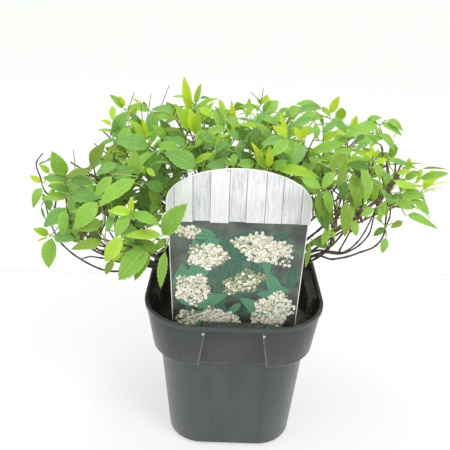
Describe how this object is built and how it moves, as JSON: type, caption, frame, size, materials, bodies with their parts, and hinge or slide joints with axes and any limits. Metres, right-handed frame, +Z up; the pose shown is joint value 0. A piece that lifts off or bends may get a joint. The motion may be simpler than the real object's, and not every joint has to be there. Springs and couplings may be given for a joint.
{
  "type": "potted spirea shrub",
  "caption": "Low, wide leafy shrub of many thin stems rising from one stool, in a filled square nursery pot with gripped collar, with an arched picture label standing in front.",
  "frame": {"origin": "middle of the pot's flat underside, on the surface it stands on", "axes": "+Z up, +X along the crown's widest way, to the right when the label is faced, and -Y the way the label faces"},
  "size_m": [0.3526, 0.283, 0.3161],
  "materials": {
    "pot_plastic": "satin, moulded",
    "compost": "rough, moist",
    "label_card": "printed, semi-gloss",
    "bark": "thin brown bark",
    "foliage": "satin leaf"
  },
  "bodies": {
    "root": {"pot": "pot_plastic", "compost": "compost", "label_card": "label_card", "stool": "bark", "stem_low_1": "bark", "stem_low_2": "bark", "stem_low_3": "bark", "stem_low_4": "bark", "stem_low_5": "bark", "stem_low_6": "bark", "stem_low_7": "bark", "stem_low_8": "bark", "stem_low_9": "bark", "stem_mid_1": "bark", "stem_mid_2": "bark", "stem_mid_3": "bark", "stem_mid_4": "bark", "stem_mid_5": "bark", "stem_mid_6": "bark", "stem_mid_7": "bark", "stem_mid_8": "bark", "stem_top_1": "bark", "stem_top_2": "bark", "stem_top_3": "bark", "stem_top_4": "bark", "stem_cut_1": "bark", "stem_cut_2": "bark", "stem_cut_3": "bark", "foliage_low_1": "foliage", "foliage_low_2": "foliage", "foliage_low_3": "foliage", "foliage_low_4": "foliage", "foliage_low_5": "foliage", "foliage_low_6": "foliage", "foliage_low_7": "foliage", "foliage_low_8": "foliage", "foliage_low_9": "foliage", "foliage_mid_1": "foliage", "foliage_mid_2": "foliage", "foliage_mid_3": "foliage", "foliage_mid_4": "foliage", "foliage_mid_5": "foliage", "foliage_mid_6": "foliage", "foliage_mid_7": "foliage", "foliage_mid_8": "foliage", "foliage_top_1": "foliage", "foliage_top_2": "foliage", "foliage_top_3": "foliage", "foliage_top_4": "foliage"}
  },
  "joints": []
}
